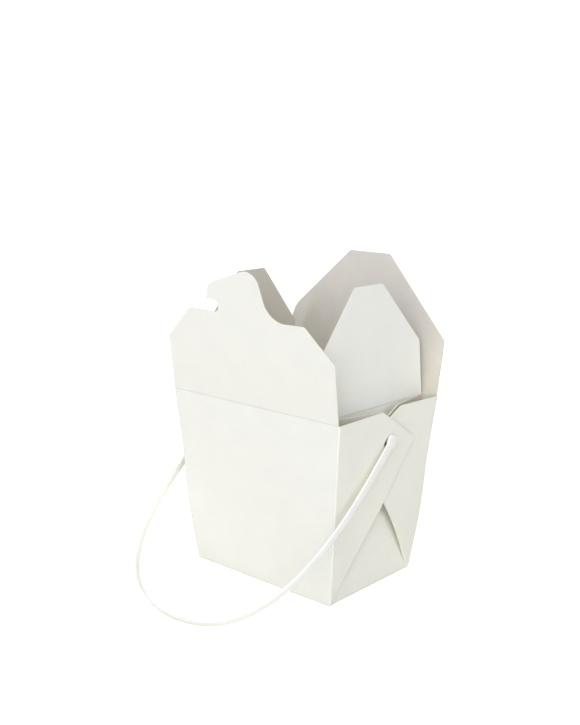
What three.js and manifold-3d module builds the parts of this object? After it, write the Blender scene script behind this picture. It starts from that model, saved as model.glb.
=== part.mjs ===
// Folded paperboard food pail with four lid flaps and a plastic strap handle.
// Millimetres, +Z up. The origin is the centre of the base, on the underside.
// The wide panels face -Y (front, tongue flap) and +Y (back, plain flap).
import * as THREE from 'three';
import { mergeVertices } from 'three/addons/utils/BufferGeometryUtils.js';
import Module from 'manifold-3d';

// ---- Driving dimensions ----
const board = 0.5;                 // thickness of the paperboard
const creaseHeight = 100;          // crease of the front and back flaps
const baseHalfWidth = 48.8;        // outside, along X
const baseHalfDepth = 35.0;        // outside, along Y
const topHalfWidth = 59.0;
const topHalfDepth = 42.7;
const creaseGap = 0.3;             // free gap between a wall and the fold of its flap
const foldRadius = 0.235;          // rounded board along a fold, just inside the faces it joins
const knuckleRadius = 0.248;       // and at a corner where folds meet

// End walls: set in from the webs that close each end. Each is given as if it stood at +X,
// with the middle of its top crease, that crease's dX per dY, its flap's height, and how far
// that flap leans inward.
const rightEnd = { topX: 47.5, skew: 0.03, flapTop: 63.3, lean: 4.9 };
const leftEnd = { topX: 43.5, skew: -0.03, flapTop: 63.9, lean: 2.6 };
const endCreaseHeight = 99.6;
const endTopHalfDepth = 41.4;
const layerStep = 0.8;             // from one folded board layer to the next

// Webs: each corner gusset is folded double along a diagonal crease.
// "across" runs from the corner edge over the end, "along" runs up the corner edge.
const webTip = { across: 64.0, along: 76.3 };
const outerWebShoulder = { across: 34.2, along: 98.4 };
const innerWebShoulder = { across: 32.8, along: 98.4 };
const webKnee = { across: 14.0, along: 76.0 };   // where the inner layer turns to the end wall
const outerWebLift = 0.0175;       // the outer web stands off the end by this slope
const innerWebSink = 0.03;         // the web under it leans in by this slope
const innerWebMouth = 2.2;         // how far its two layers part at the shoulder

// Lid flaps: half widths, heights above the crease, and leans outward from upright
const longFlapHalfWidth = 58.2;
const tongueFlap = { side: 30.4, shoulderHalf: 40.2, lean: 6.9 };
const plainFlap = { side: 29.6, topHalf: 14.2, top: 73.6, lean: 10.8 };
const plainFlapFarCorner = [50.0, 37.8, 3];      // its side towards -X slants in to this corner
const endFlap = { half: 41.0, side: 29.8, topHalf: 11.1 };
const cornerEasing = 1.2;
// The tongue's corners from shoulder to shoulder, right to left: x, y and easing
const tongueCorners = [
  [tongueFlap.shoulderHalf, 47.4, cornerEasing], [17.2, 46.8, 10], [9.5, 73.9, 9.5],
  [-23.6, 62.8, 1.8], [-26.3, 54.6, 0.4], [-17.8, 54.2, 3.0], [-17.8, 48.0, 3.0],
  [-tongueFlap.shoulderHalf, 48.0, cornerEasing],
];
const slit = { centre: -3, half: 19, height: 38.5, width: 0.5 };

// Handle: one plastic strap, its round ends snapped through the webs
const pivot = { y: 0.3, z: 83.0 };
const strap = { thickness: 1.1, width: 4.0, rootWidth: 5.5, taper: 42 };
const strapEndRadius = 3.9;
const archHalfWidth = 59.6;
const archReach = 128.5;
const archShoulder = [62.0, 45.2]; // control points of the half arch
const archCrown = [69.2, archReach];
const pin = { radius: 1.1, headX: 52.0, headThickness: 1.1 };
const handleHole = { y: -1.5, z: 83.4, radius: 3.3 };
const tableGap = 0.3;              // the resting strap's lowest edge above the table

const wasm = await Module();
wasm.setup();

const vec = (x, y, z) => new THREE.Vector3(x, y, z);
const half = board / 2;
const degrees = THREE.MathUtils.degToRad;

// ---- Solids ----
function solidOf(geometry) {
  const bare = geometry.clone();
  bare.deleteAttribute('normal');
  bare.deleteAttribute('uv');
  const merged = mergeVertices(bare, 1e-5);
  return new wasm.Manifold(new wasm.Mesh({
    numProp: 3,
    vertProperties: new Float32Array(merged.attributes.position.array),
    triVerts: new Uint32Array(merged.index.array),
  }));
}

function geometryOf(solid) {
  const mesh = solid.getMesh();
  const geometry = new THREE.BufferGeometry();
  geometry.setAttribute('position', new THREE.BufferAttribute(mesh.vertProperties, 3));
  geometry.setIndex(new THREE.BufferAttribute(mesh.triVerts, 1));
  geometry.computeVertexNormals();
  return geometry;
}

function joined(geometries) {
  return geometries.map(solidOf).reduce((whole, piece) => whole.add(piece));
}

// A flat sheet of board whose middle plane passes through the given corners
function sheet(...corners) {
  const origin = corners[0];
  const u = corners[1].clone().sub(origin).normalize();
  const normal = u.clone().cross(corners[corners.length - 1].clone().sub(origin)).normalize();
  const v = normal.clone().cross(u);
  const outline = new THREE.Shape(corners.map((corner) => {
    const offset = corner.clone().sub(origin);
    return new THREE.Vector2(offset.dot(u), offset.dot(v));
  }));
  const geometry = new THREE.ExtrudeGeometry(outline, { depth: board, bevelEnabled: false });
  geometry.translate(0, 0, -half);
  return geometry.applyMatrix4(new THREE.Matrix4().makeBasis(u, v, normal).setPosition(origin));
}

// The rounded board of a fold between two points, with a knuckle where it meets other folds
function fold(from, to) {
  const length = from.distanceTo(to);
  const roll = new THREE.CylinderGeometry(foldRadius, foldRadius, length, 8);
  const turn = new THREE.Quaternion().setFromUnitVectors(
    vec(0, 1, 0), to.clone().sub(from).normalize());
  roll.applyQuaternion(turn);
  roll.translate(...from.clone().add(to).multiplyScalar(0.5).toArray());
  const knuckles = [from, to].map((corner) => new THREE.SphereGeometry(knuckleRadius, 8, 6)
    .translate(...corner.toArray()));
  return [roll, ...knuckles];
}

// ---- Walls of the pail ----
// Corner edges, through the middle of the board: side is -1 for front, +1 for back
const cornerFoot = (side) => vec(baseHalfWidth - half, side * (baseHalfDepth - half), half);
const cornerHead = (side) => vec(topHalfWidth - half, side * (topHalfDepth - half), creaseHeight);

// A point of the web at the +X end, measured from the corner edge on that side
function webPoint(side, place, depth) {
  const foot = cornerFoot(side);
  const along = cornerHead(side).sub(foot).normalize();
  const outward = vec(along.z, 0, -along.x).normalize();
  const across = outward.clone().cross(along).multiplyScalar(side);
  return foot
    .addScaledVector(across, place.across)
    .addScaledVector(along, place.along)
    .addScaledVector(outward, -depth);
}

const footPlace = { across: 0, along: 0 };
const headPlace = { across: 0, along: cornerHead(1).distanceTo(cornerFoot(1)) };

// Both layers of one web, joined along the diagonal crease.
// slope is the outer layer's lean into the pail, mouth the layers' gap at the shoulder.
function web(side, shoulderPlace, slope, mouth, knee, wallFoot, wallHead) {
  const outer = (place) => webPoint(side, place, slope * place.across);
  const inner = (place, step = layerStep) => webPoint(side, place, slope * place.across + step);
  const [foot, tip, shoulder, head] = [footPlace, webTip, shoulderPlace, headPlace].map(outer);
  const innerTip = inner(webTip);
  const innerShoulder = inner(shoulderPlace, mouth);
  const pieces = [
    sheet(foot, tip, shoulder, head),
    sheet(foot, tip, innerTip, wallFoot),
    ...fold(foot, head),
    ...fold(foot, tip),
    ...fold(wallFoot, innerTip),
    ...fold(wallFoot, wallHead),
  ];
  if (knee) {
    const turn = inner(webKnee);
    pieces.push(
      sheet(wallFoot, innerTip, innerShoulder, turn),
      sheet(wallFoot, turn, wallHead),
      sheet(turn, innerShoulder, wallHead),
      ...fold(wallFoot, turn),
      ...fold(turn, innerShoulder),
      ...fold(turn, wallHead),
    );
  } else {
    pieces.push(
      sheet(wallFoot, innerTip, innerShoulder),
      sheet(wallFoot, innerShoulder, wallHead),
      ...fold(wallFoot, innerShoulder),
    );
  }
  return pieces;
}

// One wide wall and the end next to it at +X. The other half is turned about Z to meet it.
function halfPail({ topX, skew }) {
  const wallTop = creaseHeight - half - creaseGap;
  const rise = (wallTop - half) / (creaseHeight - half);
  const atTop = (end) => cornerFoot(-1).lerp(cornerHead(-1), rise).multiply(vec(end, 1, 1));
  const atFoot = (end) => cornerFoot(-1).multiply(vec(end, 1, 1));

  const endTop = endCreaseHeight - half - creaseGap;
  const wallFoot = (side) => webPoint(side, footPlace, layerStep);
  const wallHead = (side) => vec(
    topX + side * skew * endTopHalfDepth, side * endTopHalfDepth, endTop);
  const middle = wallFoot(-1).add(wallFoot(1)).add(wallHead(-1)).add(wallHead(1))
    .multiplyScalar(0.25);

  return [
    sheet(atFoot(-1), atFoot(1), atTop(1), atTop(-1)),
    ...fold(atFoot(-1), atFoot(1)),
    sheet(wallFoot(-1), wallFoot(1), middle),
    sheet(wallFoot(1), wallHead(1), middle),
    sheet(wallHead(1), wallHead(-1), middle),
    sheet(wallHead(-1), wallFoot(-1), middle),
    ...fold(wallFoot(-1), wallHead(1)),
    ...fold(wallFoot(1), wallHead(-1)),
    ...fold(wallFoot(-1), wallFoot(1)),
    ...web(-1, outerWebShoulder, -outerWebLift, layerStep, true, wallFoot(-1), wallHead(-1)),
    ...web(1, innerWebShoulder, innerWebSink, innerWebMouth, false, wallFoot(1), wallHead(1)),
  ];
}

function pail() {
  const near = joined(halfPail(rightEnd));
  const far = joined(halfPail(leftEnd).map((piece) => piece.rotateZ(Math.PI)));
  const foot = webPoint(-1, footPlace, layerStep);
  const base = new THREE.BoxGeometry(2 * foot.x, 2 * (baseHalfDepth - half), board);
  base.translate(0, 0, half);
  let solid = near.add(far).add(solidOf(base));
  for (const end of [1, -1]) {
    const drill = new THREE.CylinderGeometry(handleHole.radius, handleHole.radius, 12, 32);
    drill.rotateZ(Math.PI / 2);
    drill.translate(end * (archHalfWidth - 3), end * handleHole.y, handleHole.z);
    solid = solid.subtract(solidOf(drill));
  }
  return geometryOf(solid);
}

// ---- Lid flaps ----
// An outline from [x, y, easing] corners, which starts and ends square on the crease
function easedOutline(corners) {
  const shape = new THREE.Shape();
  const [first, last] = [corners[0], corners[corners.length - 1]];
  shape.moveTo(first[0], first[1]);
  for (let i = 1; i < corners.length - 1; i += 1) {
    const [before, here, after] = corners.slice(i - 1, i + 2)
      .map(([x, y]) => new THREE.Vector2(x, y));
    const easing = corners[i][2];
    const start = before.sub(here).setLength(easing).add(here);
    const end = after.sub(here).setLength(easing).add(here);
    shape.lineTo(start.x, start.y);
    shape.quadraticCurveTo(here.x, here.y, end.x, end.y);
  }
  shape.lineTo(last[0], last[1]);
  return shape;
}

// Front flap: a hooked tongue between two shoulders, which pushes into the back flap's slit
function tongueOutline() {
  return easedOutline([
    [longFlapHalfWidth, 0],
    [longFlapHalfWidth, tongueFlap.side, cornerEasing],
    ...tongueCorners,
    [-longFlapHalfWidth, tongueFlap.side, cornerEasing],
    [-longFlapHalfWidth, 0],
  ]);
}

// The other flaps: a rectangle with its two far corners clipped
function clippedOutline(halfWidth, { side, topHalf, top }, rightCorner) {
  return easedOutline([
    [halfWidth, 0], rightCorner ?? [halfWidth, side, cornerEasing], [topHalf, top, cornerEasing],
    [-topHalf, top, cornerEasing], [-halfWidth, side, cornerEasing], [-halfWidth, 0],
  ]);
}

// A flap in its own frame: the fold lies on X, the flap rises along Y, its outer face is +Z
function flapSolid(outline, halfWidth) {
  const plate = new THREE.ExtrudeGeometry(outline, {
    depth: board, bevelEnabled: false, curveSegments: 5,
  });
  plate.translate(0, 0, -half);
  const roll = new THREE.CylinderGeometry(half, half, 2 * halfWidth, 12);
  roll.rotateZ(Math.PI / 2);
  return joined([plate, roll]);
}

// The back flap takes the front flap's tongue in a slit
function slitFlapSolid() {
  const cut = new THREE.BoxGeometry(2 * slit.half, slit.width, 4 * board);
  cut.translate(-slit.centre, slit.height, 0);
  const outline = clippedOutline(longFlapHalfWidth, plainFlap, plainFlapFarCorner);
  return flapSolid(outline, longFlapHalfWidth).subtract(solidOf(cut));
}

// ---- Handle ----
// The strap's run seen square on: straight past the pin, then a half arch mirrored in X
function archPoints() {
  const halfArch = new THREE.CubicBezierCurve(
    new THREE.Vector2(archHalfWidth, 0), new THREE.Vector2(...archShoulder),
    new THREE.Vector2(...archCrown), new THREE.Vector2(0, archReach));
  const right = [new THREE.Vector2(archHalfWidth, -strapEndRadius - 1)];
  right.push(...halfArch.getSpacedPoints(26));
  const left = right.slice(0, -1).reverse().map((point) => new THREE.Vector2(-point.x, point.y));
  return [...right, ...left];
}

function offsetRun(points, distance) {
  return points.map((point, i) => {
    const before = points[Math.max(i - 1, 0)];
    const after = points[Math.min(i + 1, points.length - 1)];
    const tangent = after.clone().sub(before).normalize();
    return new THREE.Vector2(point.x + tangent.y * distance, point.y - tangent.x * distance);
  });
}

// The strap seen from the end of the pail: a round end, a root that narrows, an even band
function strapOutline() {
  const root = strap.rootWidth / 2;
  const band = strap.width / 2;
  const meet = Math.sqrt(strapEndRadius ** 2 - root ** 2);
  const angle = Math.atan2(root, meet);
  const shape = new THREE.Shape();
  shape.absarc(0, 0, strapEndRadius, angle, 2 * Math.PI - angle, false);
  shape.lineTo(strap.taper, -band);
  shape.lineTo(archReach + strap.thickness, -band);
  shape.lineTo(archReach + strap.thickness, band);
  shape.lineTo(strap.taper, band);
  return shape;
}

function handleGeometry() {
  const run = archPoints();
  const band = new THREE.ExtrudeGeometry(new THREE.Shape([
    ...offsetRun(run, strap.thickness / 2),
    ...offsetRun(run, -strap.thickness / 2).reverse(),
  ]), { depth: 4 * strapEndRadius, bevelEnabled: false });
  band.translate(0, 0, -2 * strapEndRadius);

  const reach = archHalfWidth + 10;
  const profile = new THREE.ExtrudeGeometry(strapOutline(), {
    depth: 2 * reach, bevelEnabled: false, curveSegments: 32,
  });
  profile.translate(0, 0, -reach);
  profile.applyMatrix4(new THREE.Matrix4().makeBasis(vec(0, 1, 0), vec(0, 0, 1), vec(1, 0, 0)));

  let solid = solidOf(band).intersect(solidOf(profile));
  for (const end of [1, -1]) {
    const shank = new THREE.CylinderGeometry(
      pin.radius, pin.radius, archHalfWidth - pin.headX, 16);
    shank.rotateZ(Math.PI / 2);
    shank.translate(end * (archHalfWidth + pin.headX) / 2, 0, 0);
    const head = new THREE.CylinderGeometry(
      strapEndRadius, strapEndRadius, pin.headThickness, 32);
    head.rotateZ(Math.PI / 2);
    head.translate(end * (pin.headX + pin.headThickness / 2), 0, 0);
    solid = solid.add(solidOf(shank)).add(solidOf(head));
  }
  return geometryOf(solid);
}

// ---- Assembly ----
const whiteBoard = { color: 0xf6f7f1, roughness: 0.6, metalness: 0 };
const whitePlastic = { color: 0xf8faf9, roughness: 0.35, metalness: 0 };

function addMesh(parent, name, geometry, finish) {
  const mesh = new THREE.Mesh(geometry, new THREE.MeshStandardMaterial(finish));
  mesh.name = name;
  parent.add(mesh);
  return mesh;
}

// A hinged flap: its crease at place, turned about Z by heading, leaning out by lean
function addFlap(name, solid, finish, place, heading, lean) {
  const hinge = new THREE.Group();
  hinge.position.copy(place);
  hinge.rotation.z = heading;
  const flap = addMesh(hinge, name, geometryOf(solid), finish);
  flap.rotation.x = Math.PI / 2 + degrees(lean);
  group.add(hinge);
}

const group = new THREE.Group();
addMesh(group, 'pail', pail(), whiteBoard);

const longCreaseY = topHalfDepth - half;
addFlap('front_flap', flapSolid(tongueOutline(), longFlapHalfWidth), whiteBoard,
  vec(0, -longCreaseY, creaseHeight), 0, tongueFlap.lean);
addFlap('back_flap', slitFlapSolid(), whiteBoard,
  vec(0, longCreaseY, creaseHeight), Math.PI, plainFlap.lean);
for (const [name, end, turn] of [['right_flap', rightEnd, 0], ['left_flap', leftEnd, Math.PI]]) {
  const place = vec(end.topX, 0, endCreaseHeight).applyAxisAngle(vec(0, 0, 1), turn);
  const heading = Math.PI / 2 - Math.atan(end.skew) + turn;
  const outline = clippedOutline(endFlap.half, { ...endFlap, top: end.flapTop });
  addFlap(name, flapSolid(outline, endFlap.half), whiteBoard, place, heading, -end.lean);
}

// The strap lies forward, its bow on the table
const handle = addMesh(group, 'handle', handleGeometry(), whitePlastic);
const bowReach = archReach + strap.thickness / 2;
const restAngle = Math.asin((pivot.z - tableGap) / Math.hypot(bowReach, strap.width / 2))
  - Math.atan2(strap.width / 2, bowReach);
handle.position.set(0, pivot.y, pivot.z);
handle.rotation.x = Math.PI + restAngle;

export default group;
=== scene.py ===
"""Folded paperboard food pail with its lid open and its strap handle lying forward.

Metres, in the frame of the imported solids: the base rests on the table at the origin, the panel
with the tongue flap faces -Y, and the folded ends face +X and -X.
"""
from math import asin, atan2, hypot, pi, radians

import bmesh
import bpy
from mathutils import Matrix, Vector


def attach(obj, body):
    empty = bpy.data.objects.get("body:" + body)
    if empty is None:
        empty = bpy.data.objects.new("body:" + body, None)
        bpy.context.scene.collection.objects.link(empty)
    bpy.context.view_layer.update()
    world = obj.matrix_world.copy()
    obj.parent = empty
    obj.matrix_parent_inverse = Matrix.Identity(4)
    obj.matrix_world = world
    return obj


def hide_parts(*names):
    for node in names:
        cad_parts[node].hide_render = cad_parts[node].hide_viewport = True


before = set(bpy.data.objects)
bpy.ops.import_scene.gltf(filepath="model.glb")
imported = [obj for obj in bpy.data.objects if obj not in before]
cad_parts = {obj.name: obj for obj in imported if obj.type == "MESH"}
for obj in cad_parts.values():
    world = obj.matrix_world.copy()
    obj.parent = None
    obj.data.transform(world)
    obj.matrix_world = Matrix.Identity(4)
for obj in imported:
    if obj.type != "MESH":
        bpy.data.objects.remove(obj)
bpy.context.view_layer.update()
MM = 0.001

# ---- Camera ----
# A normal lens on a tripod, off the pail's front right corner. It stands a little above the open
# lid and looks slightly down.
camera_heading = radians(41.37)
camera_pitch = radians(12.26)
camera_roll = radians(0.52)
camera_place = Vector((363.97, -425.67, 237.72)) * MM
camera_lens = 52.14

turned = (
    Matrix.Rotation(camera_heading, 4, "Z")
    @ Matrix.Rotation(pi / 2 - camera_pitch, 4, "X")
    @ Matrix.Rotation(camera_roll, 4, "Z")
)
bpy.ops.object.camera_add(location=camera_place, rotation=turned.to_euler())
camera = bpy.context.object
camera.data.lens = camera_lens
camera.data.clip_start = 10 * MM
bpy.context.scene.camera = camera

# ---- Table and light ----
# A sweep of paper under four broad, even lights, from the front, the right, overhead and behind.
# What fills the shadows comes off cream walls. The paper is white where the camera looks at it,
# and greyer in what it gives back to the pail.
table_radius = 6
table_drop = 0.05 * MM                # keeps the paper just clear of the base
paper_tones = ((0.95, 0.94, 0.90, 1), (0.97, 0.96, 0.92, 1))
paper_given_back = (0.7, 0.7, 0.69, 1)
paper_glow = 0.35
room_tone = (1.0, 0.94, 0.72, 1)
room_strength = 0.05
backdrop_strength = 1.05
direct_tone = (0.98, 0.985, 1.02, 1)
bounced_tone = (1.32, 1.25, 0.74, 1)
direct_depth = 2.5                    # light that has met more surfaces than this is cream
MIX_FIRST, MIX_SECOND, MIX_RESULT = 6, 7, 2      # the colour sockets of a Mix node

bpy.context.scene.view_settings.view_transform = "Standard"

bpy.ops.object.select_all(action="DESELECT")
bpy.ops.mesh.primitive_circle_add(
    vertices=96, radius=table_radius, fill_type="NGON", location=(0, 0, -table_drop))
table = bpy.context.object
table.name = "table"
bpy.ops.object.transform_apply(location=True, rotation=True, scale=True)

table_paper = bpy.data.materials.new("table_paper")
table_paper.use_nodes = True
table_nodes = table_paper.node_tree.nodes
table_links = table_paper.node_tree.links
table_surface = table_nodes["Principled BSDF"]
table_surface.inputs["Roughness"].default_value = 0.9
table_surface.inputs["Specular IOR Level"].default_value = 0.2
table_surface.inputs["Emission Color"].default_value = (1, 1, 1, 1)
table_tone = table_nodes.new("ShaderNodeTexNoise")
table_tone.inputs["Scale"].default_value = 3
table_ramp = table_nodes.new("ShaderNodeValToRGB")
for stop, tone in zip(table_ramp.color_ramp.elements, paper_tones):
    stop.color = tone
table_seen = table_nodes.new("ShaderNodeLightPath")
table_mix = table_nodes.new("ShaderNodeMix")
table_mix.data_type = "RGBA"
table_mix.inputs[MIX_FIRST].default_value = paper_given_back
table_glow = table_nodes.new("ShaderNodeMath")
table_glow.operation = "MULTIPLY"
table_glow.inputs[1].default_value = paper_glow
table_links.new(table_tone.outputs["Fac"], table_ramp.inputs["Fac"])
table_links.new(table_seen.outputs["Is Camera Ray"], table_mix.inputs["Factor"])
table_links.new(table_ramp.outputs["Color"], table_mix.inputs[MIX_SECOND])
table_links.new(table_mix.outputs[MIX_RESULT], table_surface.inputs["Base Color"])
table_links.new(table_seen.outputs["Is Camera Ray"], table_glow.inputs[0])
table_links.new(table_glow.outputs["Value"], table_surface.inputs["Emission Strength"])
table.data.materials.append(table_paper)

room = bpy.data.worlds.new("room")
room.use_nodes = True
room_nodes = room.node_tree.nodes
room_links = room.node_tree.links
room_light = room_nodes["Background"]
room_light.inputs["Color"].default_value = room_tone
room_light.inputs["Strength"].default_value = room_strength
backdrop = room_nodes.new("ShaderNodeBackground")
backdrop.inputs["Color"].default_value = (1, 1, 1, 1)
backdrop.inputs["Strength"].default_value = backdrop_strength
room_seen = room_nodes.new("ShaderNodeLightPath")
room_mix = room_nodes.new("ShaderNodeMixShader")
room_links.new(room_seen.outputs["Is Camera Ray"], room_mix.inputs["Fac"])
room_links.new(room_light.outputs["Background"], room_mix.inputs[1])
room_links.new(backdrop.outputs["Background"], room_mix.inputs[2])
room_links.new(room_mix.outputs["Shader"], room_nodes["World Output"].inputs["Surface"])
bpy.context.scene.world = room


def soft_light(name, toward, strength, spread):
    """Adds a broad far light that lies in the given direction. What has bounced is cream."""
    aim = Vector(toward).to_track_quat("Z", "Y").to_euler()
    bpy.ops.object.light_add(type="SUN", rotation=aim)
    light = bpy.context.object
    light.name = name
    light.data.energy = strength
    light.data.angle = radians(spread)
    light.data.use_nodes = True
    nodes, links = light.data.node_tree.nodes, light.data.node_tree.links
    path = nodes.new("ShaderNodeLightPath")
    bounced = nodes.new("ShaderNodeMath")
    bounced.operation = "GREATER_THAN"
    bounced.inputs[1].default_value = direct_depth
    tone = nodes.new("ShaderNodeMix")
    tone.data_type = "RGBA"
    tone.inputs[MIX_FIRST].default_value = direct_tone
    tone.inputs[MIX_SECOND].default_value = bounced_tone
    links.new(path.outputs["Ray Depth"], bounced.inputs[0])
    links.new(bounced.outputs["Value"], tone.inputs["Factor"])
    links.new(tone.outputs[MIX_RESULT], nodes["Emission"].inputs["Color"])


soft_light("front_light", toward=(0.15, -1.0, 0.14), strength=2.05, spread=60)
soft_light("right_light", toward=(0.72, -0.45, 0.18), strength=2.6, spread=85)
soft_light("top_light", toward=(0.0, 0.0, 1.0), strength=1.05, spread=90)
soft_light("back_light", toward=(-0.62, 0.74, 0.36), strength=1.4, spread=100)

# ---- Pail ----
# One sheet of bleached board, coated white outside and bare inside, die-cut, scored and folded:
# the base, two wide panels, two end walls, and at each corner a web folded double along its
# diagonal and lapped over the end. Nothing is glued.
board = 0.5 * MM
half = board / 2

grain_stretch = (1.0, 1.0, 0.35)      # draws the streaks out up the panels
streak_scale, streak_detail = 2600, 3
cloud_scale, cloud_detail = 90, 4
cloud_relief = 0.3                    # how far the clouds share in the relief
streak_tone = 0.4                     # how far the streaks share in the tone


def new_group(name, inputs, outputs):
    """Starts a shader node group with these named sockets, and returns it with its two ends."""
    group = bpy.data.node_groups.new(name, "ShaderNodeTree")
    for label, value in inputs.items():
        socket = group.interface.new_socket(label, in_out="INPUT", socket_type="NodeSocketFloat")
        socket.default_value = value
    for label, kind in outputs.items():
        group.interface.new_socket(label, in_out="OUTPUT", socket_type=kind)
    start = group.nodes.new("NodeGroupInput")
    end = group.nodes.new("NodeGroupOutput")
    return group, start, end


def noise(tree, vector, scale, detail):
    """A noise texture on the given coordinates."""
    texture = tree.nodes.new("ShaderNodeTexNoise")
    texture.inputs["Scale"].default_value = scale
    texture.inputs["Detail"].default_value = detail
    tree.links.new(vector, texture.inputs["Vector"])
    return texture.outputs["Fac"]


def math_node(tree, operation, first, second):
    """The result of one sum. Each side is a socket or a number."""
    node = tree.nodes.new("ShaderNodeMath")
    node.operation = operation
    for socket, value in zip(node.inputs, (first, second)):
        if isinstance(value, (int, float)):
            socket.default_value = value
        else:
            tree.links.new(value, socket)
    return node.outputs["Value"]


def remap(tree, value, low, high, low_to, high_to):
    """Brings a value from one range to another."""
    node = tree.nodes.new("ShaderNodeMapRange")
    for label, number in zip(("From Min", "From Max", "To Min", "To Max"),
                             (low, high, low_to, high_to)):
        node.inputs[label].default_value = number
    tree.links.new(value, node.inputs["Value"])
    return node.outputs["Result"]


# Fibres pressed in the board: fine streaks along the mill's grain, over cloudy patches
fibres, fibres_in, fibres_out = new_group(
    "board_fibres",
    {"Streak": 1.0, "Cloud": 1.0},
    {"Height": "NodeSocketFloat", "Tone": "NodeSocketFloat"},
)
board_place = fibres.nodes.new("ShaderNodeTexCoord")
stretch = fibres.nodes.new("ShaderNodeMapping")
stretch.inputs["Scale"].default_value = grain_stretch
fibres.links.new(board_place.outputs["Object"], stretch.inputs["Vector"])
streaks = noise(fibres, stretch.outputs["Vector"], streak_scale, streak_detail)
clouds = noise(fibres, board_place.outputs["Object"], cloud_scale, cloud_detail)
streak_part = math_node(fibres, "MULTIPLY", streaks, fibres_in.outputs["Streak"])
cloud_part = math_node(fibres, "MULTIPLY", clouds, fibres_in.outputs["Cloud"])
low_clouds = math_node(fibres, "MULTIPLY", cloud_part, cloud_relief)
pale_streaks = math_node(fibres, "MULTIPLY", streak_part, streak_tone)
fibres.links.new(
    math_node(fibres, "ADD", streak_part, low_clouds), fibres_out.inputs["Height"])
fibres.links.new(
    math_node(fibres, "ADD", cloud_part, pale_streaks), fibres_out.inputs["Tone"])


def board_material(name, dark, light, roughness, relief, streak, cloud):
    """One face of the board: its two tones, its roughness and how deep its fibres show."""
    material = bpy.data.materials.new(name)
    material.use_nodes = True
    tree = material.node_tree
    surface = tree.nodes["Principled BSDF"]
    surface.inputs["Specular IOR Level"].default_value = 0.35
    grain = tree.nodes.new("ShaderNodeGroup")
    grain.node_tree = fibres
    grain.inputs["Streak"].default_value = streak
    grain.inputs["Cloud"].default_value = cloud
    tone = tree.nodes.new("ShaderNodeValToRGB")
    for stop, position, color in zip(tone.color_ramp.elements, (0.35, 0.95), (dark, light)):
        stop.position = position
        stop.color = (*color, 1)
    tree.links.new(grain.outputs["Tone"], tone.inputs["Fac"])
    tree.links.new(tone.outputs["Color"], surface.inputs["Base Color"])
    gloss = remap(tree, grain.outputs["Tone"], 0.3, 1.1, roughness - 0.05, roughness + 0.07)
    tree.links.new(gloss, surface.inputs["Roughness"])
    bump = tree.nodes.new("ShaderNodeBump")
    bump.inputs["Strength"].default_value = 1.0
    bump.inputs["Distance"].default_value = relief
    tree.links.new(grain.outputs["Height"], bump.inputs["Height"])
    tree.links.new(bump.outputs["Normal"], surface.inputs["Normal"])
    return material


coated_face = board_material(
    "coated_face", dark=(0.765, 0.776, 0.792), light=(0.795, 0.805, 0.820),
    roughness=0.46, relief=0.006 * MM, streak=0.8, cloud=1.0)
bare_face = board_material(
    "bare_face", dark=(0.600, 0.578, 0.552), light=(0.645, 0.622, 0.595),
    roughness=0.62, relief=0.014 * MM, streak=1.0, cloud=1.0)
# Along the folds the coating is rougher and shows more relief. Its tone is darker than the flat
# coating's, which is painted shade that damps the light the rounded folds catch.
shaded_fold_coating = board_material(
    "shaded_fold_coating", dark=(0.725, 0.736, 0.750), light=(0.760, 0.771, 0.785),
    roughness=0.55, relief=0.020 * MM, streak=1.0, cloud=0.8)
folded_bare = board_material(
    "folded_bare", dark=(0.660, 0.636, 0.608), light=(0.710, 0.686, 0.656),
    roughness=0.68, relief=0.030 * MM, streak=1.0, cloud=0.8)
cut_edge = board_material(
    "cut_edge", dark=(0.760, 0.720, 0.590), light=(0.820, 0.790, 0.670),
    roughness=0.80, relief=0.040 * MM, streak=1.0, cloud=1.0)
board_faces = [coated_face, bare_face, shaded_fold_coating, folded_bare, cut_edge]
FOLDED, EDGE = 2, 4                   # slots of a fold's coated side and of a cut edge

base_half = Vector((48.8, 35.0)) * MM
top_half = Vector((59.0, 42.7)) * MM
crease_height = 100 * MM
flap_play = 0.05 * MM                 # between a wall's top edge and its flap's rounded fold
ends = {                              # the near end and the far one, by the way that they face
    1: {"top_x": 47.5 * MM, "skew": 0.03, "flap_lean": radians(4.9)},
    -1: {"top_x": 43.5 * MM, "skew": -0.03, "flap_lean": radians(2.6)},
}
end_top_half = 41.4 * MM
end_crease_height = 99.6 * MM
layer_step = 0.8 * MM                 # from one layer of a web to the next
web_tip = (64.0 * MM, 76.3 * MM)      # across the end, and along the corner edge
# By side, the front web lapping over the back one: how fast it nears the wall, how far apart its
# layers are at the top, and where its top edge turns down
webs = {
    -1: {"slope": -0.0175, "mouth": 0.8 * MM, "shoulder": (34.2 * MM, 98.4 * MM)},
    1: {"slope": 0.030, "mouth": 2.2 * MM, "shoulder": (32.8 * MM, 98.4 * MM)},
}
web_springs = [                       # side, share of the crease, how far it springs, how wide
    (-1, 0.60, Vector((0.9, 0, 0)) * MM, 30 * MM),
    (1, 0.45, Vector((1.8, 2.8, 0)) * MM, 46 * MM),
]
spring_grip = 3 * MM                  # half the stretch of crease that is taken hold of
spring_grip_radius = 0.7 * MM
corner_radius = 0.9 * MM
base_fold_radius = 0.55 * MM
crease_radius = 0.36 * MM
smooth_below = radians(35)
hole_place = Vector((56.6, -1.5, 82.3)) * MM
hole_radius = 2.7 * MM
punch_length = 12 * MM
touching = 0.01 * MM                  # spots nearer than this are one


def select_only(kind, wanted):
    """In edit mode, selects the corners, edges or faces for which wanted is true."""
    bpy.ops.mesh.select_mode(type=kind)
    bpy.ops.mesh.select_all(action="DESELECT")
    mesh = bmesh.from_edit_mesh(bpy.context.object.data)
    for part in {"VERT": mesh.verts, "EDGE": mesh.edges, "FACE": mesh.faces}[kind]:
        if wanted(part):
            part.select_set(True)
    bmesh.update_edit_mesh(bpy.context.object.data)


def is_at(corner, spot):
    """True for a corner at this spot."""
    return (corner.co - spot).length < touching


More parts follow.
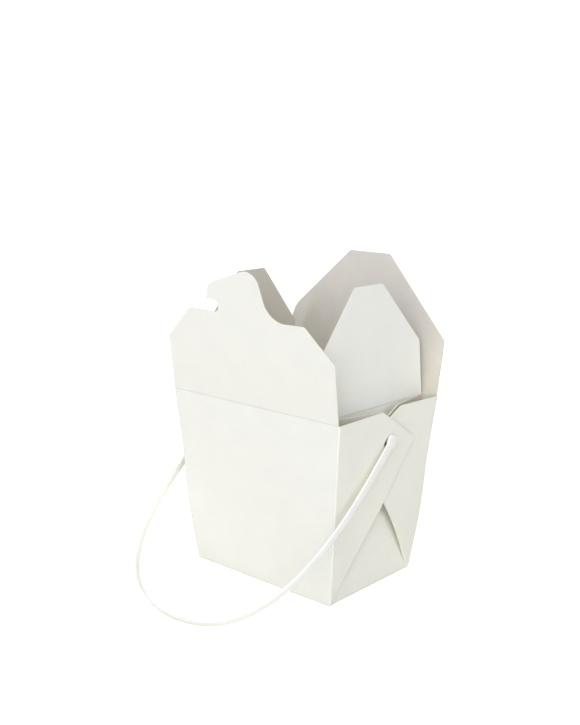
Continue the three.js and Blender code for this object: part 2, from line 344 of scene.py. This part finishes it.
def joins(edge, first, last):
    """True for the edge between two spots."""
    one, other = edge.verts
    return (is_at(one, first) and is_at(other, last)) or (is_at(one, last) and is_at(other, first))


def fold_out(edge, far_edge):
    """Extrudes the edge between two spots, and brings the new edge's ends to two other spots."""
    (first, last), (first_to, last_to) = edge, far_edge
    select_only("EDGE", lambda e: joins(e, first, last))
    bpy.ops.mesh.extrude_edges_move(TRANSFORM_OT_translate={"value": first_to - first})
    swung = last + first_to - first
    select_only("VERT", lambda v: is_at(v, swung))
    bpy.ops.transform.translate(value=last_to - swung)


def foot_of(side):
    """The bottom of a corner edge at +X: side is -1 at the front and 1 at the back."""
    return Vector((base_half.x - half, side * (base_half.y - half), half))


def head_of(side):
    """The top of that corner edge, just short of the lid's long crease."""
    foot = foot_of(side)
    crease_end = Vector((top_half.x - half, side * (top_half.y - half), crease_height))
    height = crease_height - half - flap_play
    return foot.lerp(crease_end, (height - half) / (crease_height - half))


def wall_foot_of(side):
    """A bottom corner of the end wall, which stands inside the webs."""
    return foot_of(side) - Vector((layer_step, side * layer_step, 0))


def wall_head_of(turn, side):
    """A top corner of the end wall at that end, as if it stood at +X."""
    across = side * end_top_half
    height = end_crease_height - half - flap_play
    return Vector((ends[turn]["top_x"] + ends[turn]["skew"] * across, across, height))


def web_spot(end, side, spot, step=0):
    """A spot on one layer of a web, from its corner edge: step is how far in the layer lies."""
    foot = foot_of(side)
    up = (head_of(side) - foot).normalized()
    outward = Vector((up.z, 0, -up.x)).normalized()
    over = outward.cross(up) * side
    depth = webs[side]["slope"] * spot[0] + step
    return end @ (foot + over * spot[0] + up * spot[1] - outward * depth)


def divide(axis, first, last, cuts):
    """Divides the whole sheet by evenly spaced planes square to one axis."""
    for cut in range(1, cuts + 1):
        spot = Vector(axis) * (first + (last - first) * cut / (cuts + 1))
        bpy.ops.mesh.select_all(action="SELECT")
        bpy.ops.mesh.bisect(plane_co=spot, plane_no=axis)


def apply_modifier(kind, **settings):
    """Adds a modifier to the active object with these settings, and applies it."""
    bpy.ops.object.modifier_add(type=kind)
    modifier = bpy.context.object.modifiers[-1]
    for setting, value in settings.items():
        setattr(modifier, setting, value)
    bpy.ops.object.modifier_apply(modifier=modifier.name)


def thicken():
    """Gives the active sheet the board's thickness, its bare inner face and its cut edges."""
    apply_modifier("SOLIDIFY", thickness=board, offset=0, material_offset=1,
                   material_offset_rim=EDGE)


bpy.ops.object.select_all(action="DESELECT")
bpy.ops.mesh.primitive_plane_add(size=1, location=(0, 0, half))
pail = bpy.context.object
pail.name = "folded_pail"
pail.scale = (2 * wall_foot_of(1).x, 2 * wall_foot_of(1).y, 1)
bpy.ops.object.transform_apply(location=True, rotation=True, scale=True)
for face in board_faces:
    pail.data.materials.append(face)
bpy.ops.object.mode_set(mode="EDIT")

# The far end is the near one turned half round
end_turns = {turn: Matrix.Diagonal((turn, turn, 1)) for turn in (1, -1)}
corner_folds, base_folds, creases = [], [], []

# The base reaches out to the foot of each wide panel, and the panel stands up from there
for turn, end in end_turns.items():
    far = Matrix.Diagonal((-turn, turn, 1))
    base_edge = (end @ foot_of(-1), far @ foot_of(-1))
    fold_out((end @ wall_foot_of(-1), far @ wall_foot_of(-1)), base_edge)
    fold_out(base_edge, (end @ head_of(-1), far @ head_of(-1)))
    base_folds += [base_edge, (end @ wall_foot_of(-1), end @ wall_foot_of(1))]

# Each web leaves its corner edge, doubles back along its diagonal, and runs into the end wall
for turn, end in end_turns.items():
    for side, web in webs.items():
        foot, head = end @ foot_of(side), end @ head_of(side)
        wall_foot, wall_head = end @ wall_foot_of(side), end @ wall_head_of(turn, side)
        tip = web_spot(end, side, web_tip)
        shoulder = web_spot(end, side, web["shoulder"])
        inner_tip = web_spot(end, side, web_tip, layer_step)
        inner_shoulder = web_spot(end, side, web["shoulder"], web["mouth"])
        fold_out((foot, head), (tip, shoulder))
        fold_out((foot, tip), (wall_foot, inner_tip))
        fold_out((wall_foot, inner_tip), (wall_head, inner_shoulder))
        corner_folds.append((foot, head))
        creases += [(foot, tip), (wall_foot, inner_tip)]
bpy.ops.mesh.select_all(action="SELECT")
bpy.ops.mesh.remove_doubles(threshold=touching)

# The end wall closes the sheet between its two webs
for turn, end in end_turns.items():
    sides = [(end @ wall_foot_of(side), end @ wall_head_of(turn, side)) for side in webs]
    select_only("EDGE", lambda e: any(joins(e, *side) for side in sides))
    bpy.ops.mesh.bridge_edge_loops()
bpy.ops.mesh.select_all(action="SELECT")
bpy.ops.mesh.normals_make_consistent(inside=False)

# Every fold is rolled to the radius that the score gives it
for folds, radius in (
        (corner_folds, corner_radius), (base_folds, base_fold_radius), (creases, crease_radius)):
    select_only("EDGE", lambda e: any(joins(e, *fold) for fold in folds))
    bpy.ops.transform.edge_bevelweight(value=radius / corner_radius)
bpy.ops.object.mode_set(mode="OBJECT")
apply_modifier("BEVEL", limit_method="WEIGHT", width=corner_radius, segments=4, material=FOLDED,
               use_clamp_overlap=False)

# Folded double, the webs spring open a little along their creases
bpy.ops.object.mode_set(mode="EDIT")
divide((1, 0, 0), -base_half.x, base_half.x, cuts=9)
divide((0, 1, 0), -base_half.y, base_half.y, cuts=9)
divide((0, 0, 1), 0, crease_height, cuts=13)
for end in end_turns.values():
    for side, share, push, reach in web_springs:
        foot = end @ foot_of(side)
        along = (web_spot(end, side, web_tip) - foot).normalized()
        spot = foot + share * hypot(*web_tip) * along
        select_only("VERT", lambda v: abs((v.co - spot).dot(along)) < spring_grip
                    and (v.co - spot).cross(along).length < spring_grip_radius)
        bpy.ops.transform.translate(
            value=end @ push, use_proportional_edit=True, proportional_edit_falloff="SMOOTH",
            proportional_size=reach, use_proportional_connected=True)
bpy.ops.object.mode_set(mode="OBJECT")
thicken()

# What bears on the table is pressed flat
bpy.ops.object.mode_set(mode="EDIT")
select_only("VERT", lambda v: v.co.z < 0.02 * MM)
bpy.ops.transform.resize(value=(1, 1, 0), center_override=(0, 0, 0))
bpy.ops.object.mode_set(mode="OBJECT")

# The strap's ends snap through a round hole in both webs
for turn in end_turns:
    bpy.ops.object.select_all(action="DESELECT")
    bpy.ops.mesh.primitive_cylinder_add(
        vertices=48, radius=hole_radius, depth=punch_length, rotation=(0, pi / 2, 0),
        location=(turn * hole_place.x, turn * hole_place.y, hole_place.z))
    punch = bpy.context.object
    punch.data.materials.append(cut_edge)
    bpy.context.view_layer.objects.active = pail
    apply_modifier("BOOLEAN", operation="DIFFERENCE", solver="EXACT", object=punch,
                   material_mode="TRANSFER")
    bpy.data.objects.remove(punch)
pail.select_set(True)
bpy.ops.object.shade_smooth_by_angle(angle=smooth_below)
apply_modifier("WEIGHTED_NORMAL", keep_sharp=True)
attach(pail, "pail")
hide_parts("pail")

# ---- Lid flaps ----
# The lid is part of the same sheet: each flap turns on a score at the top of its wall. The front
# one ends in a hooked tongue, which pushes into a hairline slit in the back one, not cut here. The
# narrower end flaps fold down first, under them.
tongue_lean = radians(6.9)
slit_flap_lean = radians(10.8)

# Outlines in millimetres: X along the crease, Y away from it, and how far the corner is rounded
tongue_corners = [
    (58.2, 0, 0), (58.2, 30.4, 1), (40.2, 47.4, 1), (17.2, 46.8, 10), (9.5, 73.9, 9.5),
    (-23.6, 62.8, 1.8), (-26.3, 54.6, 0.4), (-17.8, 54.2, 3.05), (-17.8, 48.0, 3.05),
    (-40.2, 48.0, 1), (-58.2, 30.4, 1), (-58.2, 0, 0),
]
slit_flap_corners = [                 # its side towards -X slants in
    (58.2, 0, 0), (50.0, 37.8, 3), (14.2, 73.6, 1),
    (-14.2, 73.6, 1), (-58.2, 29.6, 1), (-58.2, 0, 0),
]
end_flap_half = 41.0
end_flap_side = 29.8
end_flap_top_half = 11.1
end_flap_tops = {1: 63.3, -1: 63.9}


def clipped_corners(half_width, side, top_half_width, top):
    """A rectangle with its two far corners clipped."""
    right = [(half_width, 0, 0), (half_width, side, 1), (top_half_width, top, 1)]
    return right + [(-x, y, ease) for x, y, ease in reversed(right)]


def lid_flap(name, node, corners, crease_place, heading, lean):
    """Cuts one flap's blank, thickens it, rolls its crease and stands it there."""
    bpy.ops.object.select_all(action="DESELECT")
    bpy.ops.mesh.primitive_circle_add(vertices=len(corners), fill_type="NGON")
    flap = bpy.context.object
    flap.name = name
    for face in board_faces:
        flap.data.materials.append(face)
    bpy.ops.object.mode_set(mode="EDIT")
    # The blank reaches half a board's thickness past its crease, to be rolled round it
    for index, (x, y, _) in enumerate(corners):
        select_only("VERT", lambda v: v.index == index)
        start = flap.data.vertices[index].co
        bpy.ops.transform.translate(value=Vector((x * MM, y * MM if y else -half, 0)) - start)
    for x, y, ease in corners:
        if ease:
            spot = Vector((x, y, 0)) * MM
            steps = 8 if ease > 2 else 3
            select_only("VERT", lambda v: is_at(v, spot))
            bpy.ops.mesh.bevel(offset=ease * MM, segments=steps, affect="VERTICES")
    bpy.ops.object.mode_set(mode="OBJECT")
    thicken()
    bpy.ops.object.mode_set(mode="EDIT")
    select_only("EDGE", lambda e: all(v.co.y < -0.9 * half for v in e.verts)
                and abs(e.verts[0].co.z - e.verts[1].co.z) < 0.1 * half)
    bpy.ops.mesh.bevel(offset=0.98 * half, segments=5, affect="EDGES")
    bpy.context.object.active_material_index = FOLDED
    bpy.ops.object.material_slot_assign()
    bpy.ops.object.mode_set(mode="OBJECT")
    flap.rotation_euler = (pi / 2 + lean, 0, heading)
    flap.location = crease_place
    bpy.ops.object.transform_apply(location=True, rotation=True, scale=True)
    bpy.ops.object.shade_smooth_by_angle(angle=smooth_below)
    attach(flap, node)
    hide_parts(node)


long_crease_y = top_half.y - half
lid_flap("tongue_flap", "front_flap", tongue_corners,
         (0, -long_crease_y, crease_height), 0, tongue_lean)
lid_flap("slit_flap", "back_flap", slit_flap_corners,
         (0, long_crease_y, crease_height), pi, slit_flap_lean)
for name, node, turn in (("right_end_flap", "right_flap", 1), ("left_end_flap", "left_flap", -1)):
    corners = clipped_corners(end_flap_half, end_flap_side, end_flap_top_half, end_flap_tops[turn])
    heading = pi / 2 - atan2(ends[turn]["skew"], 1) + (pi if turn < 0 else 0)
    lid_flap(name, node, corners, (turn * ends[turn]["top_x"], 0, end_crease_height),
             heading, -ends[turn]["flap_lean"])

# ---- Strap handle ----
# One moulded strip of white plastic, stiff enough to hold its arch. A round button at each end
# lies on the outer web, and a stub behind it snaps through the holes and ends in a second button.
pivot = Vector((0, 0.3, 83.0)) * MM
strap_thickness = 1.1 * MM
strap_width = 4.0 * MM
strap_edge = 0.48 * MM                # how far the strip's long edges are rounded
root_width = 5.5 * MM                 # at the buttons
taper = 42 * MM                       # the length over which it narrows from there
arch_half = 59.6 * MM
arch_reach = 128.5 * MM
crown_pull = 69.2 * MM
leg_pull_x, leg_pull_y = 62.0 * MM, 45.2 * MM
end_pull = 10 * MM
rest_height = 0.3 * MM                # from the table to the strip's corner, before its rounding
button_radius = 3.9 * MM
button_ease = 0.3 * MM                # how far a button's rim is rounded
stub_radius = 1.1 * MM
inner_button = 52.0 * MM              # its inner face, from the middle of the pail

white_plastic = bpy.data.materials.new("white_plastic")
white_plastic.use_nodes = True
plastic_tree = white_plastic.node_tree
plastic = plastic_tree.nodes["Principled BSDF"]
plastic.inputs["IOR"].default_value = 1.49
plastic_place = plastic_tree.nodes.new("ShaderNodeTexCoord")
flow = noise(plastic_tree, plastic_place.outputs["Object"], scale=160, detail=3)
flow_tone = plastic_tree.nodes.new("ShaderNodeValToRGB")
flow_tone.color_ramp.elements[0].color = (0.82, 0.83, 0.88, 1)
flow_tone.color_ramp.elements[1].color = (0.86, 0.87, 0.92, 1)
plastic_tree.links.new(flow, flow_tone.inputs["Fac"])
plastic_tree.links.new(flow_tone.outputs["Color"], plastic.inputs["Base Color"])
flow_gloss = remap(plastic_tree, flow, 0.3, 0.7, 0.48, 0.58)
plastic_tree.links.new(flow_gloss, plastic.inputs["Roughness"])
peel = plastic_tree.nodes.new("ShaderNodeBump")
peel.inputs["Distance"].default_value = 0.01 * MM
peel_height = noise(plastic_tree, plastic_place.outputs["Object"], scale=1500, detail=2)
plastic_tree.links.new(peel_height, peel.inputs["Height"])
plastic_tree.links.new(peel.outputs["Normal"], plastic.inputs["Normal"])

# The line that the strap is bent along, seen square on: X across, Y away from the pivot
bpy.ops.object.select_all(action="DESELECT")
bpy.ops.curve.primitive_bezier_curve_add()
arch = bpy.context.object
arch.data.dimensions = "2D"
arch.data.resolution_u = 64
line = arch.data.splines[0]
line.bezier_points.add(1)
arch_points = [                       # each with the handles before it and after it
    ((arch_half, 0), (arch_half, -end_pull), (leg_pull_x, leg_pull_y)),
    ((0, arch_reach), (crown_pull, arch_reach), (-crown_pull, arch_reach)),
    ((-arch_half, 0), (-leg_pull_x, leg_pull_y), (-arch_half, -end_pull)),
]
for point, (place, before, after) in zip(line.bezier_points, arch_points):
    point.handle_left_type = point.handle_right_type = "FREE"
    point.co = (*place, 0)
    point.handle_left = (*before, 0)
    point.handle_right = (*after, 0)
run = line.calc_length()


def length_along(edge):
    """How far an edge of the straight strip runs along it."""
    return abs(edge.verts[0].co.x - edge.verts[1].co.x)


def middle_along(edge):
    """How far along the straight strip the middle of an edge is."""
    return (edge.verts[0].co.x + edge.verts[1].co.x) / 2


# The strip is made straight, from wide root to wide root, and then bent
bpy.ops.object.select_all(action="DESELECT")
bpy.ops.mesh.primitive_cube_add(size=1)
strap = bpy.context.object
strap.name = "strap_handle"
strap.data.materials.append(white_plastic)
strap.scale = (taper, strap_thickness, root_width)
strap.location = (taper / 2, 0, 0)
bpy.ops.object.transform_apply(location=True, rotation=True, scale=True)
bpy.ops.object.mode_set(mode="EDIT")
narrow = strap_width / root_width
select_only("VERT", lambda v: v.co.x > 0.5 * taper)
bpy.ops.transform.resize(value=(1, 1, narrow))
for reach, width in ((run - 2 * taper, 1), (taper, 1 / narrow)):
    end_x = max(v.co.x for v in bmesh.from_edit_mesh(strap.data).verts)
    select_only("FACE", lambda f: f.calc_center_median().x > end_x - touching)
    bpy.ops.mesh.extrude_region_move(TRANSFORM_OT_translate={"value": (reach, 0, 0)})
    bpy.ops.transform.resize(value=(1, 1, width))
select_only("EDGE", lambda e: length_along(e) > 1 * MM)
bpy.ops.mesh.bevel(offset=strap_edge, segments=5, affect="EDGES")
for low, high, cuts in ((0, taper, 23), (taper, run - taper, 119), (run - taper, run, 23)):
    select_only("EDGE", lambda e: length_along(e) > 3 * MM and low < middle_along(e) < high)
    bpy.ops.mesh.subdivide(number_cuts=cuts)
bpy.ops.object.mode_set(mode="OBJECT")
apply_modifier("CURVE", object=arch, deform_axis="POS_X")
bpy.data.objects.remove(arch)

# At each end a button outside the webs, a stub through them, and a button inside
for turn in (1, -1):
    for radius, first, last, ease in (
            (button_radius, arch_half - strap_thickness / 2, arch_half + strap_thickness / 2,
             button_ease),
            (stub_radius, inner_button + button_ease, arch_half, 0),
            (button_radius, inner_button, inner_button + strap_thickness, button_ease)):
        bpy.ops.object.select_all(action="DESELECT")
        bpy.ops.mesh.primitive_cylinder_add(
            vertices=64, radius=radius, depth=last - first, rotation=(0, pi / 2, 0),
            location=(turn * (first + last) / 2, 0, 0))
        button = bpy.context.object
        bpy.ops.object.transform_apply(location=True, rotation=True, scale=True)
        if ease:
            apply_modifier("BEVEL", width=ease, segments=3, limit_method="ANGLE")
        bpy.context.view_layer.objects.active = strap
        apply_modifier("BOOLEAN", operation="UNION", solver="EXACT", object=button)
        bpy.data.objects.remove(button)

# It hangs forward from its holes until the arch's lower edge all but meets the table
outer_reach = arch_reach + strap_thickness / 2
rest_angle = (asin((pivot.z - rest_height) / hypot(outer_reach, strap_width / 2))
              - atan2(strap_width / 2, outer_reach))
bpy.ops.object.select_all(action="DESELECT")
strap.select_set(True)
bpy.context.view_layer.objects.active = strap
strap.rotation_euler = (pi + rest_angle, 0, 0)
strap.location = pivot
bpy.ops.object.transform_apply(location=True, rotation=True, scale=True)
bpy.ops.object.shade_smooth_by_angle(angle=radians(40))
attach(strap, "handle")
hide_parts("handle")
